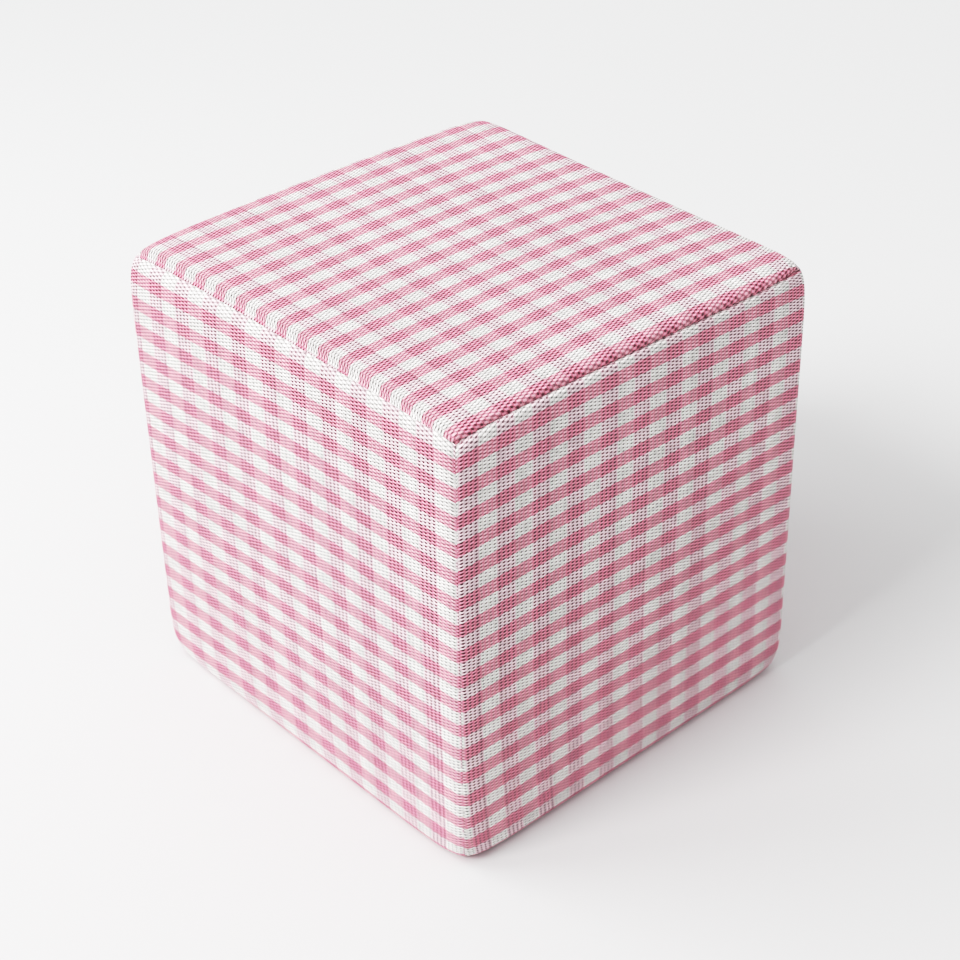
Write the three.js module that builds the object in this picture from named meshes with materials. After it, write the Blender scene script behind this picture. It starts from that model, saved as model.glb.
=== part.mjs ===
// Cube pouf: a firm filled cube in a cover of six woven panels, sewn together along its twelve edges.
// Millimetres, +Z up, origin on the floor below the middle of the cube.
// Each panel is a solid of its own: its crowned outer face, and its share of the filling down to the middle.

import * as THREE from 'three';

// Driving sizes
const width = 400;
const depth = 384;
const height = 412;
const uprightRoll = 6;
const topRoll = 11;
const bottomRoll = 13;

// How far the filling pushes the cover out, and how far the corners are drawn in
const topCrown = 4.4;
const topArch = 2.8;
const sideBulge = 2.1;
const cornerTuck = 5.9;
const floorPress = 1.6;

// How far the left and back edges of the top bow outwards, or inwards where it is negative
const leftEdgeBow = 3.5;
const backEdgeBow = -4.6;

// How closely the crown, a tuck and a bow keep to their own place: a higher power fades sooner away from it
const crownPower = 4;
const tuckPower = 12;
const bowPower = 6;

// Panels stand this far clear of the middle, so that neighbours are a sewing gap apart
const panelClearance = 0.25;

// Seams. reach is how far the top or bottom panel runs past the cube's edge onto the side panel,
// or stays short of it where it is negative; lean is how much more it reaches at the seam's +X or +Y end than
// in its middle; groove is how deep the seam is drawn in.
const seams = {
  topRight: { reach: 1.2, lean: 5.3, groove: 2.2 },
  topFront: { reach: -2.6, lean: 2.2, groove: 1.2 },
  topBack: { reach: 1, lean: 0, groove: 1.6 },
  topLeft: { reach: -1, lean: 0, groove: 1.2 },
  bottomRight: { reach: -9, lean: 0, groove: 1.6 },
  bottomFront: { reach: -9, lean: 0, groove: 1.6 },
  bottomBack: { reach: -9, lean: 0, groove: 1.6 },
  bottomLeft: { reach: -9, lean: 0, groove: 1.6 },
  upright: { reach: 0, lean: 0, groove: 0.8 },
};
const grooveWidth = 3.2;
const reachPower = 6;

// A panel's reach across depends on its reach along and the other way round, so they settle by turns
const settlingPasses = 6;

// How far each corner is pushed out of place, as a filled cover never sits quite square
const cornerShifts = [
  { at: [1, -1, 1], by: [0, 0, 0] },
  { at: [-1, -1, 1], by: [-1.8, -1.7, 1.1] },
  { at: [-1, 1, 1], by: [4.2, 3, -0.8] },
  { at: [1, 1, 1], by: [-2, -1.5, -0.2] },
  { at: [1, -1, -1], by: [-0.6, -0.8, 0] },
  { at: [-1, -1, -1], by: [-0.8, -0.5, 0] },
  { at: [1, 1, -1], by: [-0.4, -0.7, 0] },
  { at: [-1, 1, -1], by: [0, 0, 0] },
];

// The leaning corners carry the cube's outer box off the middle, and this brings it back over the origin
const centring = new THREE.Vector3(0.65, 0.32, 0);

// Panels: the axis that each faces, its two in-plane axes, and its seams in the order
// low across, high across, low along, high along. side is -1 where the seam's reach belongs to a neighbour.
const panels = [
  {
    name: 'panel_top', out: [0, 0, 1], across: [1, 0, 0], along: [0, 1, 0], side: 1,
    rims: ['topLeft', 'topRight', 'topFront', 'topBack'], colour: 0xe7aebf,
  },
  {
    name: 'panel_bottom', out: [0, 0, -1], across: [0, 1, 0], along: [1, 0, 0], side: 1,
    rims: ['bottomFront', 'bottomBack', 'bottomLeft', 'bottomRight'], colour: 0xe3a9bb,
  },
  {
    name: 'panel_front', out: [0, -1, 0], across: [1, 0, 0], along: [0, 0, 1], side: -1,
    rims: ['upright', 'upright', 'bottomFront', 'topFront'], colour: 0xebb4c5,
  },
  {
    name: 'panel_right', out: [1, 0, 0], across: [0, 1, 0], along: [0, 0, 1], side: -1,
    rims: ['upright', 'upright', 'bottomRight', 'topRight'], colour: 0xdfa3b6,
  },
  {
    name: 'panel_back', out: [0, 1, 0], across: [-1, 0, 0], along: [0, 0, 1], side: -1,
    rims: ['upright', 'upright', 'bottomBack', 'topBack'], colour: 0xebb4c5,
  },
  {
    name: 'panel_left', out: [-1, 0, 0], across: [0, -1, 0], along: [0, 0, 1], side: -1,
    rims: ['upright', 'upright', 'bottomLeft', 'topLeft'], colour: 0xdfa3b6,
  },
];

// Grid lines over a panel, by their distance from a seam: close together where the cloth rolls into it
const rimSteps = [0, 1.8, 4, 7, 11, 17, 27, 45];
const middleSteps = 7;

const half = new THREE.Vector3(width, depth, height).multiplyScalar(0.5);
const reference = half.x;

// On the curve x^n + y^n = 1 the corner is drawn in as far as a round of this radius draws it
function rollPower(radius) {
  const inset = (radius * (1 - Math.SQRT1_2)) / reference;
  return Math.LN2 / -Math.log(1 - inset);
}

const uprightPower = rollPower(uprightRoll);
const topPower = rollPower(topRoll);
const bottomPower = rollPower(bottomRoll);

// Grid positions from -1 at one seam to 1 at the other
function gridLines() {
  const low = rimSteps.map((step) => -1 + step / reference);
  const inner = low[low.length - 1];
  const middle = [];
  for (let i = 1; i < middleSteps; i += 1) {
    middle.push(THREE.MathUtils.lerp(inner, -inner, i / middleSteps));
  }
  const high = low.map((value) => -value).reverse();
  return [...low, ...middle, ...high];
}

// The cube with rolled edges: the point where a line from the middle leaves it, each axis from -1 to 1
function rolledCube(direction) {
  const [x, y, z] = direction.toArray().map(Math.abs);
  const around = (x ** uprightPower + y ** uprightPower) ** (1 / uprightPower);
  const power = direction.z > 0 ? topPower : bottomPower;
  const size = (around ** power + z ** power) ** (1 / power);
  return direction.clone().divideScalar(size);
}

// How near a position from -1 to 1 is to one end, from 0 at the other end to 1 there
function nearness(end, position) {
  return (1 + end * position) / 2;
}

// The filled shape: crown, arch, bulge and pulled corners, from the rolled cube to millimetres
function filled(unit) {
  const { x, y, z } = unit;
  const upper = nearness(1, z) ** crownPower;
  const openX = 1 - x * x;
  const openY = 1 - y * y;
  const openZ = 1 - z * z;
  const tuck = cornerTuck * Math.abs(x * y * z) ** tuckPower;
  const bowLeft = x < 0 ? leftEdgeBow * x ** bowPower * openY * upper : 0;
  const bowBack = y > 0 ? backEdgeBow * y ** bowPower * openX * upper : 0;
  const point = new THREE.Vector3(
    x * half.x + sideBulge * x ** 3 * openY * openZ - tuck * Math.sign(x) - bowLeft,
    y * half.y + sideBulge * y ** 3 * openX * openZ - tuck * Math.sign(y) + bowBack,
    z * half.z + upper * (topArch * (1 - x * x * y * y) + topCrown * openX * openY) - tuck * Math.sign(z),
  );
  for (const { at, by } of cornerShifts) {
    const share = nearness(at[0], x) * nearness(at[1], y) * nearness(at[2], z);
    point.addScaledVector(new THREE.Vector3(...by), share);
  }
  point.add(centring);
  point.z = Math.max(point.z + half.z - floorPress, 0);
  return point;
}

const middlePoint = filled(new THREE.Vector3());

// Where a panel ends towards one rim, in half cubes from its centre; the reach fades out at the corners
function rimLimit(panel, rim, position) {
  const { reach, lean } = seams[panel.rims[rim]];
  const fade = 1 - Math.min(Math.abs(position), 1) ** reachPower;
  return 1 + (panel.side * (reach + lean * position) * fade) / reference;
}

// A point of a panel's grid, u across and v along, each from -1 to 1
function panelPoint(panel, u, v) {
  const rimU = u < 0 ? 0 : 1;
  const rimV = v < 0 ? 2 : 3;
  let s = u;
  let t = v;
  for (let pass = 0; pass < settlingPasses; pass += 1) {
    s = u * rimLimit(panel, rimU, t);
    t = v * rimLimit(panel, rimV, s);
  }
  // past an edge the line turns down the neighbouring face
  const overS = Math.max(Math.abs(s) - 1, 0);
  const overT = Math.max(Math.abs(t) - 1, 0);
  const direction = new THREE.Vector3(...panel.out).multiplyScalar(1 - overS - overT)
    .addScaledVector(new THREE.Vector3(...panel.across), THREE.MathUtils.clamp(s, -1, 1))
    .addScaledVector(new THREE.Vector3(...panel.along), THREE.MathUtils.clamp(t, -1, 1));
  const point = filled(rolledCube(direction));

  // the seams draw the cloth in towards the middle
  const drawn = (rim, edge) => {
    const away = ((1 - Math.abs(edge)) * reference) / grooveWidth;
    return seams[panel.rims[rim]].groove * Math.exp(-away * away);
  };
  const groove = Math.max(drawn(rimU, u), drawn(rimV, v));
  const inward = middlePoint.clone().sub(point).normalize();
  point.addScaledVector(inward, groove);
  point.z = Math.max(point.z, 0);
  return point;
}

// A panel's solid: its outer face on the grid, and four flat-sided fans from its rims to the middle
function panelGeometry(panel) {
  const lines = gridLines();
  const count = lines.length;
  const points = [];
  for (const v of lines) {
    for (const u of lines) {
      points.push(panelPoint(panel, u, v));
    }
  }
  const middle = points.push(middlePoint.clone()) - 1;
  const at = (column, row) => row * count + column;
  const faces = [];
  for (let row = 0; row < count - 1; row += 1) {
    for (let column = 0; column < count - 1; column += 1) {
      const corner = at(column, row);
      const right = at(column + 1, row);
      const across = at(column + 1, row + 1);
      const up = at(column, row + 1);
      faces.push(corner, right, across, corner, across, up);
    }
  }
  const last = count - 1;
  for (let i = 0; i < last; i += 1) {
    faces.push(at(i + 1, 0), at(i, 0), middle);
    faces.push(at(last, i + 1), at(last, i), middle);
    faces.push(at(i, last), at(i + 1, last), middle);
    faces.push(at(0, i), at(0, i + 1), middle);
  }
  const geometry = new THREE.BufferGeometry();
  geometry.setAttribute('position', new THREE.Float32BufferAttribute(points.flatMap((p) => p.toArray()), 3));
  geometry.setIndex(faces);
  geometry.computeVertexNormals();
  return geometry;
}

const pouf = new THREE.Group();
for (const panel of panels) {
  const cloth = new THREE.MeshStandardMaterial({ color: panel.colour, roughness: 0.92, metalness: 0 });
  const mesh = new THREE.Mesh(panelGeometry(panel), cloth);
  mesh.name = panel.name;
  mesh.position.set(...panel.out).multiplyScalar(panelClearance);
  mesh.position.z += panelClearance;
  pouf.add(mesh);
}

export default pouf;
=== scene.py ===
# Cube pouf in a chunky woven gingham cover: six padded panels around one filled cube, in metres, +Z up.
import math
import bpy
import numpy as np
from mathutils import Matrix, Vector


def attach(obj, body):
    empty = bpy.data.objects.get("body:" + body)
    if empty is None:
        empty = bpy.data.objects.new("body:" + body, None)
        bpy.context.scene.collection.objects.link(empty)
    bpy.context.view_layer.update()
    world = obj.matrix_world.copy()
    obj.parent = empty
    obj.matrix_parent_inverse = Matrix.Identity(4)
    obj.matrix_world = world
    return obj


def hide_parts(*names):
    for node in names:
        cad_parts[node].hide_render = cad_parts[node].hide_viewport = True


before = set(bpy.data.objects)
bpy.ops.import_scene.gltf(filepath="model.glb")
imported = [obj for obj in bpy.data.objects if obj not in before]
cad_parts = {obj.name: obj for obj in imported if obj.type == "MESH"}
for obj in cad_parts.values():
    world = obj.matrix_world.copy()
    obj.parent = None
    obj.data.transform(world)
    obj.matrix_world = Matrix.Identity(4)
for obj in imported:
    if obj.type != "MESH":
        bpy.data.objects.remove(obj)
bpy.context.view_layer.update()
mm = 0.001
bpy.ops.object.select_all(action="DESELECT")
print("frame loaded")


# The filled cube: its sizes in millimetres, as the solids have them
cubeForm = {
    "width": 400, "depth": 384, "height": 412,
    "uprightRoll": 6, "topRoll": 11, "bottomRoll": 13,   # rounding of the edges
    "topCrown": 4.4, "topArch": 2.8, "sideBulge": 2.1,   # how far the filling pushes the cover out
    "cornerTuck": 5.9, "floorPress": 1.6,
    "leftEdgeBow": 3.5, "backEdgeBow": -4.6,
    "crownPower": 4, "tuckPower": 12, "bowPower": 6,
    "centring": (0.65, 0.32, 0),
    "panelClearance": 0.25,
}

cornerShifts = (  # the cover never sits quite square: each corner, how far it is pushed, and how locally
    ((-1, -1, 1), (-1.8, -1.7, 1.1), 1),
    ((-1, 1, 1), (4.2, 3, -0.8), 1),
    ((1, 1, 1), (-2, -1.5, -0.2), 1),
    ((1, -1, -1), (-0.6, -0.8, 0), 1),
    ((-1, -1, -1), (-0.8, -0.5, 0), 1),
    ((1, 1, -1), (-0.4, -0.7, 0), 1),
    ((-1, 1, 1), (0.5, 1, 2.6), 5),
    ((1, 1, 1), (0.5, 1.5, 1.6), 7),
    ((1, -1, -1), (-1.2, 1.2, 3.4), 12),
)

# reach: how far the top or bottom panel runs past the edge; lean: how much more at the +X or +Y end
seams = {
    "topRight": {"reach": 1.2, "lean": 5.3, "groove": 4.6},
    "topFront": {"reach": -2.6, "lean": 2.2, "groove": 0.5},
    "topBack": {"reach": 1, "lean": 0, "groove": 1},
    "topLeft": {"reach": -1, "lean": 0, "groove": 0.7},
    "bottomRight": {"reach": -9, "lean": 0, "groove": 1},
    "bottomFront": {"reach": -9, "lean": 0, "groove": 1},
    "bottomBack": {"reach": -9, "lean": 0, "groove": 1},
    "bottomLeft": {"reach": -9, "lean": 0, "groove": 1},
    "upright": {"reach": 0, "lean": 0, "groove": 0.15},
}
seamShape = {
    "grooveWidth": 2, "reachPower": 6,
    "allowance": 6,                       # how far the cloth turns in behind the seam
    "closing": 0.9,                       # how much of the gap between neighbours the cloth closes
    "snap": 0.48,                         # how near the seam, in steps of the mesh, points are laid on it
    "pullLength": 11, "foldAngle": 72,
}

half = np.array([cubeForm["width"], cubeForm["depth"], cubeForm["height"]]) / 2


def rollPower(radius):  # on the curve x^n + y^n = 1 the corner is drawn in as far as this round draws it
    inset = radius * (1 - math.sqrt(0.5)) / half[0]
    return math.log(2) / -math.log(1 - inset)


def filledPoint(direction):  # where lines from the cube's middle leave the filled form
    form = cubeForm
    x, y, z = np.abs(direction).T
    upright = rollPower(form["uprightRoll"])
    level = np.where(direction[:, 2] > 0, rollPower(form["topRoll"]), rollPower(form["bottomRoll"]))
    around = (x ** upright + y ** upright) ** (1 / upright)
    size = (around ** level + z ** level) ** (1 / level)
    x, y, z = (direction / size[:, None]).T
    upper = ((1 + z) / 2) ** form["crownPower"]
    openX, openY, openZ = 1 - x * x, 1 - y * y, 1 - z * z
    tuck = form["cornerTuck"] * np.abs(x * y * z) ** form["tuckPower"]
    bowLeft = np.where(x < 0, form["leftEdgeBow"] * x ** form["bowPower"] * openY * upper, 0)
    bowBack = np.where(y > 0, form["backEdgeBow"] * y ** form["bowPower"] * openX * upper, 0)
    lift = upper * (form["topArch"] * (1 - x * x * y * y) + form["topCrown"] * openX * openY)
    point = np.stack([
        x * half[0] + form["sideBulge"] * x ** 3 * openY * openZ - tuck * np.sign(x) - bowLeft,
        y * half[1] + form["sideBulge"] * y ** 3 * openX * openZ - tuck * np.sign(y) + bowBack,
        z * half[2] + lift - tuck * np.sign(z),
    ], -1)
    for (atX, atY, atZ), push, power in cornerShifts:
        share = ((1 + atX * x) * (1 + atY * y) * (1 + atZ * z) / 8) ** power
        point += share[:, None] * np.array(push)
    point += np.array(form["centring"])
    point[:, 2] = np.maximum(point[:, 2] + half[2] - form["floorPress"], 0)
    return point


middlePoint = np.array(cubeForm["centring"]) + np.array([0, 0, half[2] - cubeForm["floorPress"]])

# The six panels. ends are the warp yarns, picks the weft yarns, and both pitches are in millimetres of cloth.
# pickAxis is the panel axis that the picks are stacked along, and sample the points of the mesh on each pick.
# firstColumn and firstRow are the middles of the first pink column and row, measured on the cloth from the
# panel's middle. The sways say how far the weave lies off its even grid, in millimetres: c and r stand for
# the column and row position in parts of swayScale. frontHook and pull drag the rows at a seam. loft is how
# far the yarns stand up and also how dark the painted shade in the pits is, set face by face as the light
# falls on it and less toward the top of the front and right faces; calm is how much flatter they lie, and how
# much lighter that painted shade is, at the seam after the last row.
panels = {
    "panel_top": {
        "out": (0, 0, 1), "across": (1, 0, 0), "along": (0, 1, 0), "side": 1,
        "rims": ("topLeft", "topRight", "topFront", "topBack"),
        "pickAxis": 0, "endPitch": 4.176, "pickPitch": 1.575, "firstColumn": -162.1, "firstRow": -158.6,
        "columnSway": {"": -2, "r": -5.6, "rr": 10.7, "rrrr": -7.1, "cc": 2.4, "crr": 2.8, "ccccrr": -9,
                       "cr": -1.6},
        "rowSway": {"": 2.5, "c": 2.5, "ccc": 4.5, "rr": -14.3, "rrrr": 9.5, "ccr": 3.8, "rrr": -1.6,
                    "cr": 0.9},
        "frontHook": 9, "pull": (1.6, 0), "sample": 2,
        "loftAndPitShade": {"": 0.84}, "calm": 0,
    },
    "panel_front": {
        "out": (0, -1, 0), "across": (1, 0, 0), "along": (0, 0, 1), "side": -1,
        "rims": ("upright", "upright", "bottomFront", "topFront"),
        "pickAxis": 1, "endPitch": 4.595, "pickPitch": 1.531, "firstColumn": -159.7, "firstRow": -179.6,
        "columnSway": {"": 1.1, "r": -3.3, "rr": 2.9, "cc": -11.1, "cccc": 8.8, "ccr": 3.3, "crrrr": -2.7},
        "rowSway": {"": 2, "c": 1.6, "cc": -11.1, "cccc": 5.6, "cr": -1.5, "ccrr": 3.2, "ccrrr": 1.8},
        "frontHook": 0, "pull": (1.3, -0.8), "sample": 2,
        "loftAndPitShade": {"": 1.15, "r": -0.15}, "calm": 0.5,
    },
    "panel_right": {
        "out": (1, 0, 0), "across": (0, 1, 0), "along": (0, 0, 1), "side": -1,
        "rims": ("upright", "upright", "bottomRight", "topRight"),
        "pickAxis": 1, "endPitch": 4.419, "pickPitch": 1.529, "firstColumn": -178.3, "firstRow": -178.2,
        "columnSway": {"": -0.9, "cr": 1.9, "rrr": -2.6, "rr": 3.6, "ccccc": 2, "crrrr": -2.6},
        "rowSway": {"c": -3.4, "cc": -3.2, "ccc": 8.8, "ccccc": -6.1, "rr": 4.7, "rrrr": -4.5,
                    "crrrrr": -1.9},
        "frontHook": 0, "pull": (1.5, -1.5), "sample": 2,
        "loftAndPitShade": {"": 1.06, "r": -0.18}, "calm": 0.2,
    },
    "panel_back": {
        "out": (0, 1, 0), "across": (-1, 0, 0), "along": (0, 0, 1), "side": -1,
        "rims": ("upright", "upright", "bottomBack", "topBack"),
        "pickAxis": 1, "endPitch": 4.6, "pickPitch": 1.53, "firstColumn": -166, "firstRow": -179,
        "columnSway": {"r": 2, "rr": 3, "cc": -7, "cccc": 6},
        "rowSway": {"": 1, "c": -1.5, "cc": -8, "cccc": 4, "rr": 1.5},
        "frontHook": 0, "pull": (2, 0), "sample": 1,
        "loftAndPitShade": {"": 0.9}, "calm": 0.3,
    },
    "panel_left": {
        "out": (-1, 0, 0), "across": (0, -1, 0), "along": (0, 0, 1), "side": -1,
        "rims": ("upright", "upright", "bottomLeft", "topLeft"),
        "pickAxis": 1, "endPitch": 4.43, "pickPitch": 1.53, "firstColumn": -176, "firstRow": -178.5,
        "columnSway": {"rrr": 2, "rr": 3},
        "rowSway": {"c": 2.5, "ccc": -4, "cccc": -7, "rr": 2},
        "frontHook": 0, "pull": (2, 0), "sample": 1,
        "loftAndPitShade": {"": 0.9}, "calm": 0.3,
    },
    "panel_bottom": {
        "out": (0, 0, -1), "across": (0, 1, 0), "along": (1, 0, 0), "side": 1,
        "rims": ("bottomFront", "bottomBack", "bottomLeft", "bottomRight"),
        "pickAxis": 1, "endPitch": 4.2, "pickPitch": 1.57, "firstColumn": -164, "firstRow": -163,
        "columnSway": {"r": 3, "cc": 4, "cccc": -5},
        "rowSway": {"c": -2.5, "rr": -5},
        "frontHook": 0, "pull": (2, 0), "sample": 1,
        "loftAndPitShade": {"": 0.9}, "calm": 0.3,
    },
}

gingham = {"endsPerStripe": 4, "picksPerStripe": 8}  # pink and white alike, so a repeat is twice as many
relief = {  # in millimetres
    "bead": 0.34, "pit": -0.28, "shoulder": 0.08, "furrow": 0.1, "between": 0.05,
    "seamFade": 0.8,      # the relief grows over this distance from a seam
    "calmLength": 9,      # how far in from the seam along its last row the weave lies flatter and its pits' painted shade lighter
}
waver = {  # uneven yarns, in millimetres
    "count": 26, "ends": 0.22, "picks": 0.10, "longest": 90, "shortestOnEnds": 14, "shortestOnPicks": 7,
    "rowStretch": 2, "seed": 5, "seedStep": 10,
}
# the front seam lies start before the first pink column, and the rows' ends turn within length of it
hook = {"start": 24.5, "length": 5, "power": 1.5}
swayScale, swayLimit = 200, 1.05
clothSheet = {  # drawn larger than any panel, and then trimmed at the seams
    "firstEnd": -20, "lastEnd": 120, "firstPick": -30, "lastPick": 310,
    "rulerReach": 1.25, "rulerMarks": 5001,
    "onYarn": 0.25,       # a point this near the middle of a yarn, in yarns, lies on it
    "leastLength": 1e-9,
}


def faceDirection(panel, s, t):  # past an edge the line turns down the neighbouring face
    out, across, along = (np.array(panel[key], float) for key in ("out", "across", "along"))
    over = np.maximum(np.abs(s) - 1, 0) + np.maximum(np.abs(t) - 1, 0)
    return (out * (1 - over)[:, None] + across * np.clip(s, -1, 1)[:, None]
            + along * np.clip(t, -1, 1)[:, None])


def clothRuler(panel, axis):  # cloth length from the panel's middle, against the position on the cube
    position = np.linspace(-clothSheet["rulerReach"], clothSheet["rulerReach"], clothSheet["rulerMarks"])
    still = np.zeros_like(position)
    line = filledPoint(faceDirection(panel, *((position, still) if axis == 0 else (still, position))))
    length = np.concatenate([[0], np.cumsum(np.linalg.norm(np.diff(line, axis=0), axis=1))])
    return length - np.interp(0, position, length), position


def rimLimit(panel, low, high, position, other):  # where the panel ends, and the depth of the seam there
    fade = 1 - np.minimum(np.abs(other), 1) ** seamShape["reachPower"]
    ends = [seams[panel["rims"][rim]] for rim in (low, high)]
    reach, groove = (np.where(position < 0, ends[0][key], ends[1][key]) for key in ("reach", "groove"))
    lean = np.where(position < 0, ends[0]["lean"], ends[1]["lean"])
    return 1 + panel["side"] * (reach + lean * other) * fade / half[0], groove


def unevenness(column, row, seed, shortest):  # a sum of slow waves, about -1 to 1
    rng = np.random.default_rng(seed)
    total = np.zeros_like(column)
    for _ in range(waver["count"]):
        length = shortest * (waver["longest"] / shortest) ** rng.random()
        turn, phase = rng.random(2) * 2 * math.pi
        along = column * math.cos(turn) + row * math.sin(turn) * waver["rowStretch"]
        total += np.sin(along * 2 * math.pi / length + phase)
    return total / math.sqrt(waver["count"])


def spread(terms, column, row):  # a smooth change over a panel, named by its powers of c and r
    c, r = (np.clip(place / swayScale, -swayLimit, swayLimit) for place in (column, row))
    return sum(amount * c ** name.count("c") * r ** name.count("r") for name, amount in terms.items())


def swayed(panel, column, row, edge):  # the weave off its even grid, edge being its last row's place
    seed = waver["seed"] + list(panels.values()).index(panel) * waver["seedStep"]
    newColumn = column + spread(panel["columnSway"], column, row)
    newRow = row + spread(panel["rowSway"], column, row)
    newColumn = newColumn + waver["ends"] * unevenness(column, row, seed, waver["shortestOnEnds"])
    newRow = newRow + waver["picks"] * unevenness(column, row, seed + 1, waver["shortestOnPicks"])
    toSeam = np.maximum(column - panel["firstColumn"] + hook["start"], 0)
    newRow = newRow + panel["frontHook"] * np.exp(-(toSeam / hook["length"]) ** hook["power"])
    pull = spread({"": panel["pull"][0], "c": panel["pull"][1]}, column, row)
    return newColumn, newRow + pull * np.exp(np.minimum(row - edge, 0) / seamShape["pullLength"])


def laidOnSeam(position, cloth, limit, ruler, step):  # points near the seam go onto it, those past it turn in
    edge = np.sign(position) * limit
    away = (np.interp(edge, ruler[1], ruler[0]) - cloth) * np.sign(position)
    near = np.abs(away) < step * seamShape["snap"]
    turned = np.clip(-away - step / 2, 0, seamShape["allowance"])
    outside = near | (away < 0)
    return np.where(outside, edge, position), np.where(near, 0, away), turned


def clothPoint(panel, rulers, column, row):  # the smooth cloth, its seams and its turned-in edge
    across, along = (row, column) if panel["pickAxis"] == 0 else (column, row)
    steps = panel["endPitch"] / 2, panel["pickPitch"] / panel["sample"]
    if panel["pickAxis"] == 0:
        steps = steps[::-1]
    s, t = np.interp(across, *rulers[0]), np.interp(along, *rulers[1])
    limitS, grooveS = rimLimit(panel, 0, 1, s, t)
    limitT, grooveT = rimLimit(panel, 2, 3, t, s)
    s, awayS, turnedS = laidOnSeam(s, across, limitS, rulers[0], steps[0])
    t, awayT, turnedT = laidOnSeam(t, along, limitT, rulers[1], steps[1])
    point = filledPoint(faceDirection(panel, s, t))
    width = seamShape["grooveWidth"]
    drawn = np.maximum(grooveS * np.exp(-(np.maximum(awayS, 0) / width) ** 2),
                       grooveT * np.exp(-(np.maximum(awayT, 0) / width) ** 2))
    inward = middlePoint - point
    inward /= np.linalg.norm(inward, axis=1)[:, None]
    point = point + inward * (drawn + np.maximum(turnedS, turnedT))[:, None]
    point[:, 2] = np.maximum(point[:, 2], 0)
    away = np.minimum(awayS, awayT)
    closed = 1 - seamShape["closing"] * np.exp(-(away / width) ** 2)   # neighbours all but meet at the seam
    clearance = (np.array(panel["out"]) + np.array([0, 0, 1])) * cubeForm["panelClearance"]
    return point + clearance * closed[:, None], away


def yarnRelief(ends, picks):  # weft beads stand up, and the warp shows at the bottom of the pits between them
    onEnd, onPick = (np.abs(yarns % 1 - 0.5) < clothSheet["onYarn"] for yarns in (ends, picks))
    weftUp = (np.floor(ends) + np.floor(picks)) % 2 < 1
    height = np.where(onEnd & onPick, np.where(weftUp, relief["bead"], relief["pit"]), relief["between"])
    height = np.where(~onEnd & onPick, relief["shoulder"], height)
    return np.where(onEnd & ~onPick, relief["furrow"], height)


def wovenPoints(panel):  # the weave's points, with their places in ends and picks, and their loft, which also sets the painted shade in the pits
    rulers = clothRuler(panel, 0), clothRuler(panel, 1)
    rowRuler = rulers[panel["pickAxis"]]
    rowEdge = np.interp(1, rowRuler[1], rowRuler[0])
    perPick = panel["sample"]
    inPick = 0.5 if perPick == 1 else 0
    endLines = np.arange(clothSheet["firstEnd"] * 2, clothSheet["lastEnd"] * 2) / 2
    pickLines = np.arange(clothSheet["firstPick"] * perPick, clothSheet["lastPick"] * perPick) / perPick
    ends, picks = np.meshgrid(endLines, pickLines + inPick)
    column = panel["firstColumn"] + (ends.ravel() - gingham["endsPerStripe"] / 2) * panel["endPitch"]
    row = panel["firstRow"] + (picks.ravel() - gingham["picksPerStripe"] / 2) * panel["pickPitch"]
    point, away = clothPoint(panel, rulers, *swayed(panel, column, row, rowEdge))
    point, away = point.reshape(*ends.shape, 3), away.reshape(ends.shape)
    calm = 1 - panel["calm"] * np.exp(np.minimum(row - rowEdge, 0) / relief["calmLength"])
    loftAndPitShade = (spread(panel["loftAndPitShade"], column, row) * calm).reshape(ends.shape)

    # the lines of points inside the seams, and one more on each side to turn in
    columns, rows = np.flatnonzero((away > 0).any(axis=0)), np.flatnonzero((away > 0).any(axis=1))
    block = slice(rows[0] - 1, rows[-1] + 2), slice(columns[0] - 1, columns[-1] + 2)
    ends, picks, point, away, loftAndPitShade = ends[block], picks[block], point[block], away[block], loftAndPitShade[block]
    normal = np.cross(np.gradient(point, axis=1), np.gradient(point, axis=0))
    normal /= np.maximum(np.linalg.norm(normal, axis=2)[:, :, None], clothSheet["leastLength"])
    normal *= np.sign((normal * (point - middlePoint)).sum(axis=2))[:, :, None]
    fade = np.clip(away / relief["seamFade"], 0, 1)
    point = point + normal * (yarnRelief(ends, picks) * fade * loftAndPitShade)[:, :, None]
    point[:, :, 2] = np.maximum(point[:, :, 2], 0)
    return ends, picks, point, loftAndPitShade


def closeBehind(mesh, panel):  # its share of the filling: the cut edge runs in to the middle of the cube
    bpy.ops.object.mode_set(mode="EDIT")
    bpy.ops.mesh.select_mode(type="VERT")
    bpy.ops.mesh.select_all(action="DESELECT")
    bpy.ops.mesh.select_non_manifold()
    bpy.ops.mesh.extrude_region_move()
    bpy.ops.mesh.merge(type="CENTER")
    bpy.ops.object.mode_set(mode="OBJECT")
    hub = next(vertex for vertex in mesh.vertices if vertex.select)
    hub.co = Vector(middlePoint * mm) + Vector(panel["out"]) * cubeForm["panelClearance"] * mm
    bpy.ops.object.mode_set(mode="EDIT")
    bpy.ops.mesh.select_all(action="SELECT")
    bpy.ops.mesh.normals_make_consistent(inside=False)
    bpy.ops.mesh.faces_shade_smooth()
    bpy.ops.mesh.select_all(action="DESELECT")
    bpy.ops.mesh.edges_select_sharp(sharpness=math.radians(seamShape["foldAngle"]))
    bpy.ops.mesh.mark_sharp()
    bpy.ops.object.mode_set(mode="OBJECT")


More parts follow.
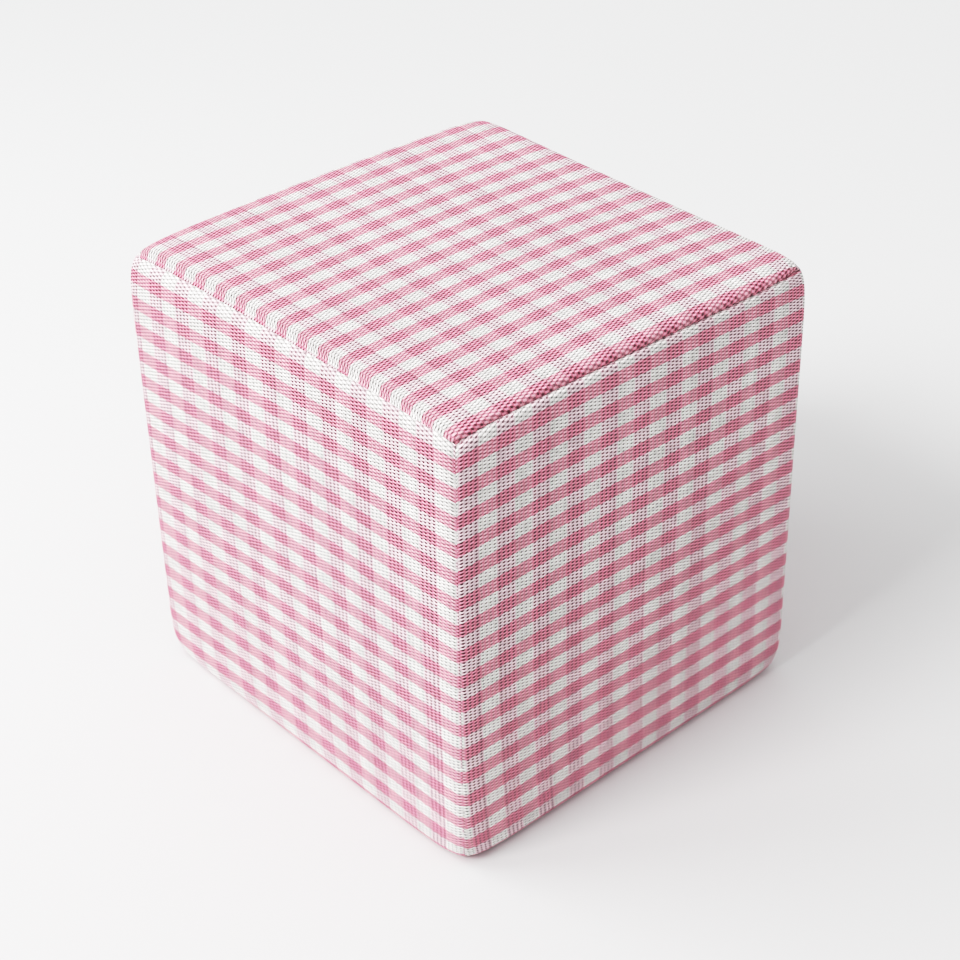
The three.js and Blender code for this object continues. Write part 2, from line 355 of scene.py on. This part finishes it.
def sewPanel(name, panel, material):
    ends, picks, point, loftAndPitShade = wovenPoints(panel)
    stepsV, stepsU = ends.shape[0] - 1, ends.shape[1] - 1
    bpy.ops.mesh.primitive_grid_add(x_subdivisions=stepsU, y_subdivisions=stepsV, size=1)
    piece = bpy.context.object
    piece.name = piece.data.name = name.replace("panel_", "woven_") + "_panel"
    mesh = piece.data
    flat = np.empty(len(mesh.vertices) * 3)
    mesh.vertices.foreach_get("co", flat)
    flat = flat.reshape(-1, 3) + 0.5
    at = np.round(flat[:, 1] * stepsV).astype(int), np.round(flat[:, 0] * stepsU).astype(int)
    mesh.vertices.foreach_set("co", (point[at] * mm).ravel())

    weave = mesh.uv_layers[0]
    weave.name = "weave"
    corners = np.empty(len(mesh.loops), dtype=np.int32)
    mesh.loops.foreach_get("vertex_index", corners)
    weave.data.foreach_set("uv", np.stack([ends[at], picks[at]], -1)[corners].astype(np.float32).ravel())
    loftAndShadeLayer = mesh.attributes.new("loftAndPitShade", "FLOAT", "POINT")
    loftAndShadeLayer.data.foreach_set("value", loftAndPitShade[at].astype(np.float32))

    closeBehind(mesh, panel)
    mesh.materials.clear()
    mesh.materials.append(material)
    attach(piece, "root")
    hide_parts(name)
    bpy.ops.object.select_all(action="DESELECT")
    triangles = 2 * stepsU * stepsV + 2 * (stepsU + stepsV)
    print(name, "sewn:", stepsU, "by", stepsV, "steps,", triangles, "triangles")


# Shader maths
class Wire:  # one socket, so that maths on it reads as an expression
    def __init__(self, box, socket):
        self.box, self.socket = box, socket

    def maths(self, operation, *values):
        return self.box.add("ShaderNodeMath", {"operation": operation}, *values)

    def __add__(self, other):
        return self.maths("ADD", self, other)

    def __radd__(self, other):
        return self.maths("ADD", other, self)

    def __sub__(self, other):
        return self.maths("SUBTRACT", self, other)

    def __rsub__(self, other):
        return self.maths("SUBTRACT", other, self)

    def __mul__(self, other):
        return self.maths("MULTIPLY", self, other)

    def __rmul__(self, other):
        return self.maths("MULTIPLY", other, self)

    def __truediv__(self, other):
        return self.maths("DIVIDE", self, other)

    def __mod__(self, other):
        return self.maths("FLOORED_MODULO", self, other)

    def __lt__(self, other):
        return self.maths("LESS_THAN", self, other)

    def floor(self):
        return self.maths("FLOOR", self)

    def size(self):
        return self.maths("ABSOLUTE", self)

    def root(self):
        return self.maths("SQRT", self)

    def most(self, other):
        return self.maths("MAXIMUM", self, other)

    def least(self, other):
        return self.maths("MINIMUM", self, other)


class NodeBox:  # a material's nodes
    def __init__(self, name):
        self.material = bpy.data.materials.new(name)
        self.material.use_nodes = True
        self.tree = self.material.node_tree
        self.tree.nodes.clear()

    def add(self, kind, settings, *values, output=0, **named):
        node = self.tree.nodes.new(kind)
        for key, value in settings.items():
            setattr(node, key, value)
        for key, value in [*enumerate(values), *named.items()]:
            socket = node.inputs[key] if isinstance(key, int) else node.inputs[key.replace("_", " ")]
            if isinstance(value, Wire):
                self.tree.links.new(value.socket, socket)
            elif value is not None:
                socket.default_value = value
        return Wire(self, node.outputs[output]) if node.outputs else node

    def split(self, vector):
        first = self.add("ShaderNodeSeparateXYZ", {}, vector)
        return [Wire(self, socket) for socket in first.socket.node.outputs]

    def scale(self, colour, amount):
        return self.add("ShaderNodeVectorMath", {"operation": "SCALE"}, colour, Scale=amount)

    def noise(self, vector, scale, detail):
        settings = {"noise_dimensions": "2D"}
        return self.add("ShaderNodeTexNoise", settings, Vector=vector, Scale=scale, Detail=detail)

    def blend(self, factor, first, second, how="MIX"):  # a Mix node's seventh and eighth sockets are colours
        settings = {"data_type": "RGBA", "blend_type": how}
        return self.add("ShaderNodeMix", settings, factor, *[None] * 5, first, second, output=2)


clothLook = {
    "whiteWeft": (0.985, 0.955, 0.935, 1),
    # the pink weft in two copies: a lighter one with a painted highlight for each bead's crown, and a darker
    # one with painted shade for its flanks
    "pinkWeftHighlit": (0.96, 0.52, 0.6, 1),
    "pinkWeftShaded": (0.82, 0.283, 0.38, 1),
    # the pits: warp yarn deep between white or pink weft, tinted by it and darkened with painted shade
    "shadedWhiteInWhite": (0.3, 0.285, 0.28, 1),
    "shadedWhiteInPink": (0.36, 0.15, 0.19, 1),
    "shadedPinkInWhite": (0.12, 0.014, 0.035, 1),
    "shadedPinkInPink": (0.11, 0.004, 0.018, 1),
    "cast": (0.99, 0.8, 0.875, 1),            # the tint that pink warp throws on the weft over it
    "beadLength": 0.62, "beadHeight": 0.86,   # half a bead, in ends and in picks
    "pitLength": 0.265, "pitHeight": 0.545,   # half a pit
    "pitRim": 2.2, "cavity": 0.25,            # steepness of a pit's rim, and the shade at a bead's edge
    "endGrowth": 0.19, "pickGrowth": 0.1,     # how much larger the pits are among pink ends and pink picks
    "leastSwell": 0.9, "swellChange": 0.2,    # thick and thin places in the yarn
    "slubScale": 1.1, "slubDetail": 2,
    "beadChange": 0.2, "pitShadeChange": 0.45, "yarnChange": 0.14,     # uneven dye, and painted pit shade deeper in some pits than others
    "patchChange": 0.16, "patchScale": 0.12, "patchDetail": 3,
    "roughness": 0.93, "sheen": 0.2, "sheenRoughness": 0.5, "specular": 0.15,
    "bumpHeight": 0.0014, "twist": 0.25, "twistScale": 5, "twistDetail": 3,
}


def makeCloth():
    look = clothLook
    box = NodeBox("gingham_weave")
    uv = box.add("ShaderNodeUVMap", {"uv_map": "weave"})
    ends, picks, _ = box.split(uv)
    loftAndPitShade = box.add("ShaderNodeAttribute", {"attribute_name": "loftAndPitShade"}, output="Fac")
    end, pick = ends.floor(), picks.floor()
    fromEnd, fromPick = (ends - end - 0.5).size(), (picks - pick - 0.5).size()
    warpUp = (end + pick) % 2                             # 0 where the weft is on top, 1 where the warp is
    crossing = box.add("ShaderNodeCombineXYZ", {}, end, pick)
    beadChance = box.add("ShaderNodeTexWhiteNoise", {"noise_dimensions": "2D"}, Vector=crossing, output=1)
    _, forBead, forPit = box.split(beadChance)
    pickChance = box.add("ShaderNodeTexWhiteNoise", {"noise_dimensions": "1D"}, W=pick)
    endChance = box.add("ShaderNodeTexWhiteNoise", {"noise_dimensions": "1D"}, W=end + 0.5)
    patches = box.noise(uv, look["patchScale"], look["patchDetail"])
    slub = box.noise(uv, look["slubScale"], look["slubDetail"])

    # each weft bead is an oval grain: over its own crossing, and reaching into the four beside it
    swell = look["leastSwell"] + slub * look["swellChange"]
    length, tall = look["beadLength"] * swell, look["beadHeight"] * swell
    byEnd, byPick = fromEnd / length, fromPick / tall
    nextEnd, nextPick = (1 - fromEnd) / length, (1 - fromPick) / tall
    own = 1 - byEnd * byEnd - byPick * byPick
    beside = (1 - nextEnd * nextEnd - byPick * byPick).most(1 - byEnd * byEnd - nextPick * nextPick)
    bead = own + (beside - own) * warpUp
    grain = bead.most(0).least(1)
    shade = 1 - (1 - grain) * (1 - grain) * look["cavity"]

    # the pits lie where the warp is on top, and reach into the crossings above and below; there the colour is
    # painted shade
    pinkPick = (pick % (2 * gingham["picksPerStripe"])) < gingham["picksPerStripe"]
    pinkEnd = (end % (2 * gingham["endsPerStripe"])) < gingham["endsPerStripe"]
    opening = swell * (1 + pinkEnd * look["endGrowth"] + pinkPick * look["pickGrowth"])
    toPit = fromPick + (1 - fromPick * 2) * (1 - warpUp)
    acrossPit, downPit = fromEnd / (opening * look["pitLength"]), toPit / (opening * look["pitHeight"])
    pit = ((1 - acrossPit * acrossPit - downPit * downPit) * look["pitRim"]).most(0).least(1) * loftAndPitShade

    # pink beads blend from painted shade at their flanks to a painted highlight at their crowns
    weft = box.blend(pinkPick, look["whiteWeft"], box.blend(grain, look["pinkWeftShaded"], look["pinkWeftHighlit"]))
    weft = box.blend(pinkEnd, weft, look["cast"], "MULTIPLY")
    # the pit colour is the warp's own colour darkened with painted shade, as a pit lying in shadow
    shadedWarpAmongWhite = box.blend(pinkEnd, look["shadedWhiteInWhite"], look["shadedPinkInWhite"])
    shadedWarpAmongPink = box.blend(pinkEnd, look["shadedWhiteInPink"], look["shadedPinkInPink"])
    shadedWarp = box.blend(pinkPick, shadedWarpAmongWhite, shadedWarpAmongPink)
    change = 1 + (forBead - 0.5) * look["beadChange"] + (pickChance + endChance - 1) * look["yarnChange"]
    change = change + (patches - 0.5) * look["patchChange"]
    # the pits' painted shade, deeper in some than others, and uneven dye along the ends
    dim = 1 - forPit * look["pitShadeChange"] + (endChance - 0.5) * look["yarnChange"]
    colour = box.blend(pit, box.scale(weft, change * shade), box.scale(shadedWarp, dim))

    twist = box.noise(uv, look["twistScale"], look["twistDetail"])
    surface = grain.root() + twist * look["twist"]
    bump = box.add("ShaderNodeBump", {}, Strength=1, Distance=look["bumpHeight"], Height=surface)
    shader = box.add("ShaderNodeBsdfPrincipled", {}, Base_Color=colour, Roughness=look["roughness"],
                     Sheen_Weight=look["sheen"], Sheen_Roughness=look["sheenRoughness"],
                     Specular_IOR_Level=look["specular"], Normal=bump)
    box.add("ShaderNodeOutputMaterial", {}, shader)
    print("cloth made:", len(box.tree.nodes), "nodes")
    return box.material


clothMaterial = makeCloth()
for panelName, panel in panels.items():
    sewPanel(panelName, panel, clothMaterial)


# Studio: a pale floor, a soft key light from the front left, and even light all round
studio = {
    "floor": (0.708, 0.711, 0.711, 1), "floorSize": 14, "floorRoughness": 0.85, "floorSpecular": 0.1,
    "keyPlace": (0, 0, 2), "keyFrom": (-0.11, -0.75, 0.65), "keyAngle": 22, "keyPower": 2.47,
    "sidePlace": (-1.06, -1.07, 1.66), "sideAim": (0, 0, 0.2), "sideSize": 1.24, "sidePower": 28.5,
    "world": (1, 1, 1, 1), "worldStrength": 0.865,
}
# Film: a soft shoulder in the highlights, as the photograph has. Its white stands at twice a plain white, and
# each point says how a light shows.
film = {
    "whiteLevel": 2,
    "curve": ((0.1, 0.075), (0.2, 0.175), (0.3, 0.29), (0.5, 0.525), (0.6, 0.61), (0.75, 0.7), (0.95, 0.8),
              (1.12, 0.86), (1.3, 0.915), (1.6, 0.965)),
}


def makeFloor():
    bpy.ops.mesh.primitive_plane_add(size=studio["floorSize"], location=(0, 0, 0))
    floor = bpy.context.object
    floor.name = "floor"
    box = NodeBox("pale_floor")
    shader = box.add("ShaderNodeBsdfPrincipled", {}, Base_Color=studio["floor"],
                     Roughness=studio["floorRoughness"], Specular_IOR_Level=studio["floorSpecular"])
    box.add("ShaderNodeOutputMaterial", {}, shader)
    floor.data.materials.append(box.material)


def makeLights():
    bpy.ops.object.light_add(type="SUN", location=studio["keyPlace"])
    key = bpy.context.object
    key.name = "key_light"
    key.data.angle, key.data.energy = math.radians(studio["keyAngle"]), studio["keyPower"]
    key.rotation_euler = Vector(studio["keyFrom"]).to_track_quat("Z", "Y").to_euler()
    bpy.ops.object.light_add(type="AREA", location=studio["sidePlace"])
    side = bpy.context.object
    side.name = "side_light"
    side.data.size, side.data.energy = studio["sideSize"], studio["sidePower"]
    aim = Vector(studio["sidePlace"]) - Vector(studio["sideAim"])
    side.rotation_euler = aim.to_track_quat("Z", "Y").to_euler()
    world = bpy.data.worlds.new("studio")
    bpy.context.scene.world = world
    world.use_nodes = True
    background = world.node_tree.nodes["Background"]
    background.inputs["Color"].default_value = studio["world"]
    background.inputs["Strength"].default_value = studio["worldStrength"]
    bpy.ops.object.select_all(action="DESELECT")


def loadFilm():
    settings = bpy.context.scene.view_settings
    settings.view_transform = "Standard"
    settings.use_curve_mapping = True
    mapping = settings.curve_mapping
    mapping.white_level = (film["whiteLevel"],) * 3
    combined = mapping.curves[3]              # the fourth curve acts on red, green and blue together
    for light, shown in film["curve"]:
        combined.points.new(light / film["whiteLevel"], shown)
    mapping.update()


# Camera, matched to the photograph: it looks at the middle of the cube from the right of its front edge
view = {
    "azimuth": -48.172, "elevation": 33.842, "roll": -1.079,
    "distance": 1854.8, "aside": 7.766, "above": -10.237, "aim": (0.65, 0.32, 206.42),
    "focal": 2165.98, "imageWidth": 960, "sensor": 36,
}


def makeCamera():
    turn, tilt, roll = (math.radians(view[key]) for key in ("azimuth", "elevation", "roll"))
    forward = Vector((math.cos(tilt) * math.sin(turn), math.cos(tilt) * math.cos(turn), -math.sin(tilt)))
    right = Vector((math.cos(turn), -math.sin(turn), 0))
    up = right.cross(forward)
    right, up = (right * math.cos(roll) + up * math.sin(roll), up * math.cos(roll) - right * math.sin(roll))
    place = Vector(view["aim"]) - forward * view["distance"] + right * view["aside"] + up * view["above"]
    bpy.ops.object.camera_add()
    camera = bpy.context.object
    camera.data.sensor_width = view["sensor"]
    camera.data.sensor_fit = "HORIZONTAL"
    camera.data.lens = view["sensor"] * view["focal"] / view["imageWidth"]
    facing = Matrix((right, up, -forward)).transposed().to_4x4()
    camera.matrix_world = Matrix.Translation(place * mm) @ facing
    bpy.context.scene.camera = camera
    bpy.ops.object.select_all(action="DESELECT")


makeFloor()
makeLights()
loadFilm()
print("studio lit")
makeCamera()
print("camera placed")
